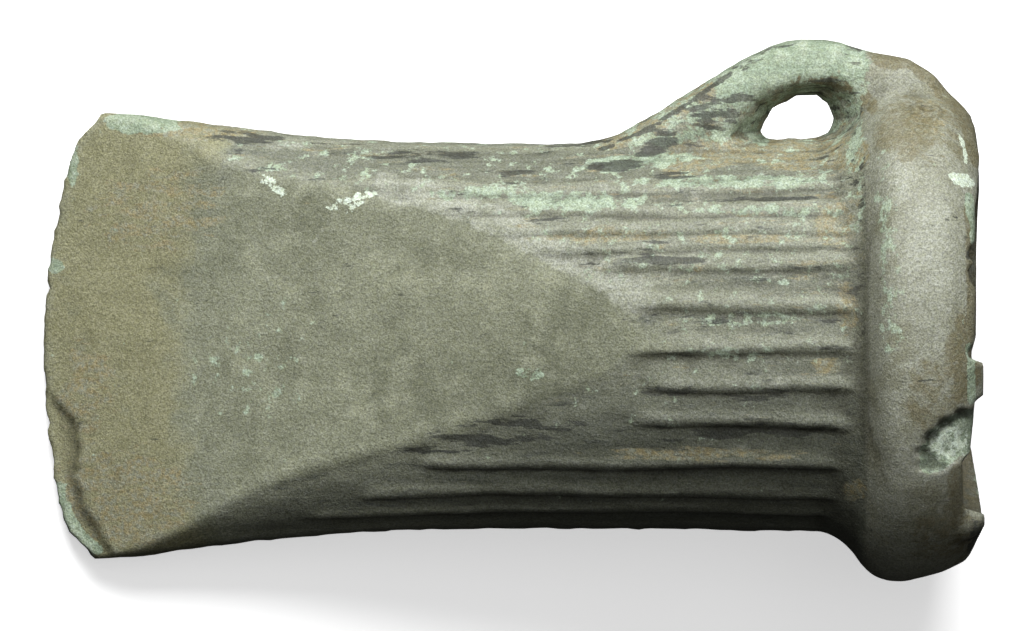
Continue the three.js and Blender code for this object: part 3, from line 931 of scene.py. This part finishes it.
def makeBronze():
    material = bpy.data.materials.new("patinated_bronze")
    material.use_nodes = True
    tree = material.node_tree
    shader = tree.nodes["Principled BSDF"]
    # object coordinates, turned into the axe's own frame and into millimetres
    turn = Matrix((alongAxe, acrossAxe, outOfFace)).transposed().to_euler()
    place = addNode(tree, "ShaderNodeTexCoord").outputs["Object"]
    millimetre = (0.001, 0.001, 0.001)
    spot = addNode(
        tree,
        "ShaderNodeMapping",
        {"Vector": place, "Location": edgeOrigin, "Rotation": turn, "Scale": millimetre},
        vector_type="TEXTURE",
    ).outputs[0]

    broad = addNoise(tree, spot, bronze["broadSize"])
    cloud = addNoise(tree, spot, bronze["cloudSize"], 5, move=(3, 7, 1))
    blotch = addNoise(tree, spot, bronze["blotchSize"], 6, roughness=0.68, move=(9, 2, 4))
    streak = addNoise(tree, spot, 0.9, 6, (6, 0.9, 0.9), 0.68, (1, 5, 8))
    fineStreak = addNoise(tree, spot, 0.36, 4, (5, 1, 1), 0.65, (4, 4, 2))
    veins = addNoise(tree, spot, 1.6, 6, (3.4, 0.6, 0.6), 0.65, (7, 3, 3))
    grain = addNoise(tree, spot, bronze["grainSize"], 2, roughness=0.6)
    sand = addNoise(tree, spot, bronze["sandSize"], 3, roughness=0.65, move=(2, 8, 5))
    speck = addNoise(tree, spot, bronze["speckSize"], 3, roughness=0.7, move=(6, 1, 9))

    # the blade: olive grey, lighter towards the edge
    facet = addBlend(tree, addRange(tree, broad, 0.38, 0.62), tint("facetDim"), tint("facet"))
    facet = addBlend(tree, addRange(tree, cloud, 0.44, 0.7), facet, tint("facetLight"))
    facet = addPaint(tree, broken(tree, "bevel", cloud, 2, 0.2, 0.9), facet, tint("bevel"), 0.75)

    # the ribbed tube: green grey with streaks, slate in the grooves, paler on the crests
    tube = addBlend(tree, addRange(tree, streak, 0.4, 0.6), tint("tube"), tint("streak"))
    tube = addPaint(tree, broken(tree, "groove", streak, 2, 0.3, 0.9), tube, tint("groove"), 0.8)
    tube = addPaint(tree, addRange(tree, veins, 0.52, 0.66), tube, tint("slate"), 0.8)
    tube = addPaint(tree, broken(tree, "crest", streak, 1.6, 0.4, 1.0), tube, tint("crest"), 0.7)

    rimmed = addBlend(tree, addRange(tree, cloud, 0.45, 0.7), tint("collar"), tint("collarDim"))
    hollow = addBlend(tree, addRange(tree, blotch, 0.45, 0.7), tint("hollow"), tint("slate"))

    colour = addBlend(tree, broken(tree, "facet", blotch, 1, 0.2, 0.8), tube, facet)
    colour = addBlend(tree, broken(tree, "collar", blotch, 1, 0.2, 0.8), colour, rimmed)
    colour = addBlend(tree, addMask(tree, "hollow"), colour, hollow)

    # painted shade: the lower half of the upper face is darker
    colour = addPaint(tree, addMask(tree, "shade"), colour, tint("shade"), 0.5)

    # patches, one over another
    greens = addBlend(tree, addRange(tree, blotch, 0.4, 0.62), tint("greenDim"), tint("green"))
    ochres = addBlend(tree, addRange(tree, speck, 0.35, 0.65), tint("ochre"), tint("streak"))
    browns = addBlend(tree, addRange(tree, speck, 0.4, 0.75), tint("brown"), tint("collarDim"))
    colour = addPaint(tree, broken(tree, "pale", cloud, 2.2, 0.35, 0.8), colour, tint("pale"), 0.8)
    colour = addPaint(tree, broken(tree, "ochre", streak, 2.4, 0.38, 0.68), colour, ochres, 0.85)
    colour = addPaint(tree, broken(tree, "brown", blotch, 2.2, 0.35, 0.75), colour, browns, 0.85)
    colour = addPaint(tree, broken(tree, "green", blotch, 2.6, 0.42, 0.64), colour, greens, 0.9)
    stained = broken(tree, "dark", veins, 3.4, 0.5, 0.72)
    colour = addPaint(tree, stained, colour, tint("dark"), 0.85)
    chalky = broken(tree, "white", speck, 1.8, 0.42, 0.6)
    colour = addPaint(tree, chalky, colour, tint("white"), 0.95)

    # painted shade in the creases, rubbed edges, and sandy grain all over
    colour = addPaint(tree, addMask(tree, "creaseShade"), colour, tint("creaseShade"), 0.6)
    rubbed = addSum(tree, addMask(tree, "worn"), addRange(tree, blotch, 0.3, 0.7), "MULTIPLY")
    colour = addPaint(tree, rubbed, colour, tint("pale"), 0.35)
    shade = addRange(tree, grain, 0.3, 0.7, *bronze["grainShade"], "LINEAR")
    for pattern, name in ((sand, "sandShade"), (fineStreak, "streakShade")):
        change = addRange(tree, pattern, 0.3, 0.7, *bronze[name], "LINEAR")
        shade = addSum(tree, shade, change, "MULTIPLY")
    warmth = addRange(tree, sand, 0.35, 0.65, *bronze["sandWarmth"], "LINEAR")
    warm = addSum(tree, shade, warmth, "MULTIPLY")
    grey = addNode(tree, "ShaderNodeCombineColor", {0: shade, 1: shade, 2: warm}).outputs[0]
    colour = addBlend(tree, 1.0, colour, grey, "MULTIPLY")
    tree.links.new(colour, shader.inputs["Base Color"])

    rough = addRange(tree, blotch, 0.3, 0.7, *bronze["roughness"], "LINEAR")
    tree.links.new(rough, shader.inputs["Roughness"])
    shader.inputs["Specular IOR Level"].default_value = bronze["specular"]
    height = addSum(tree, grain, addSum(tree, sand, bronze["sandHeight"], "MULTIPLY"))
    height = addSum(tree, height, addSum(tree, blotch, bronze["blotchHeight"], "MULTIPLY"))
    depth = bronze["grainDepth"] * 0.001
    bump = addNode(tree, "ShaderNodeBump", {"Height": height, "Distance": depth, "Strength": 1})
    tree.links.new(bump.outputs[0], shader.inputs["Normal"])
    return material


axe = makeAxe()
axe.data.materials.append(makeBronze())
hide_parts("axe_head")
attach(axe, "root")


# floor, light and camera


paper = {"halfWidth": 0.6, "grey": 0.9, "roughness": 0.9, "glow": 0.55}


def makeFloor():
    bm = bmesh.new()
    bmesh.ops.create_grid(bm, x_segments=1, y_segments=1, size=paper["halfWidth"])
    mesh = bpy.data.meshes.new("floor")
    bm.to_mesh(mesh)
    bm.free()
    floor = bpy.data.objects.new("floor", mesh)
    bpy.context.scene.collection.objects.link(floor)
    material = bpy.data.materials.new("floor_paper")
    material.use_nodes = True
    inputs = material.node_tree.nodes["Principled BSDF"].inputs
    inputs["Base Color"].default_value = (paper["grey"], paper["grey"], paper["grey"], 1)
    inputs["Roughness"].default_value = paper["roughness"]
    inputs["Emission Color"].default_value = (1, 1, 1, 1)
    inputs["Emission Strength"].default_value = paper["glow"]
    mesh.materials.append(material)
    floor.visible_diffuse = False
    floor.visible_glossy = False
    return floor


lamps = [  # place and size in metres
    {"name": "key", "place": (-0.06, 0.46, 0.38), "size": 0.42, "watts": 7.6},
    {"name": "fill", "place": (-0.05, 0.12, 0.9), "size": 0.7, "watts": 1.6},
]
roomGlow = 0.02


def makeLamps():
    for lamp in lamps:
        light = bpy.data.lights.new(lamp["name"], "AREA")
        light.size = lamp["size"]
        light.energy = lamp["watts"]
        holder = bpy.data.objects.new(lamp["name"], light)
        bpy.context.scene.collection.objects.link(holder)
        place = Vector(lamp["place"])
        aim = place.to_track_quat("Z", "Y").to_matrix().to_4x4()  # shines back at the origin
        holder.matrix_world = Matrix.Translation(place) @ aim
    world = bpy.data.worlds.new("room")
    world.use_nodes = True
    world.node_tree.nodes["Background"].inputs["Color"].default_value = (1, 1, 1, 1)
    world.node_tree.nodes["Background"].inputs["Strength"].default_value = roomGlow
    bpy.context.scene.world = world


# straight above the axe's upper face: distance and clip end in metres, the rest in millimetres
camera = {"distance": 2.0, "clipEnd": 20, "sensor": 36, "frameWidth": 97.8, "lookAt": (44.8, 1.96)}


def makeCamera():
    data = bpy.data.cameras.new("camera")
    data.sensor_width = camera["sensor"]
    data.lens = camera["sensor"] * camera["distance"] * 1000 / camera["frameWidth"]
    data.clip_end = camera["clipEnd"]
    holder = bpy.data.objects.new("camera", data)
    bpy.context.scene.collection.objects.link(holder)
    x, y = camera["lookAt"]
    target = Vector(fromAxe(np.array([[x, y, 0.0]]))[0])
    turn = Matrix((alongAxe, acrossAxe, outOfFace)).transposed().to_4x4()
    holder.matrix_world = Matrix.Translation(target + outOfFace * camera["distance"]) @ turn
    bpy.context.scene.camera = holder


makeFloor()
makeLamps()
makeCamera()
bpy.context.scene.view_settings.view_transform = "Standard"
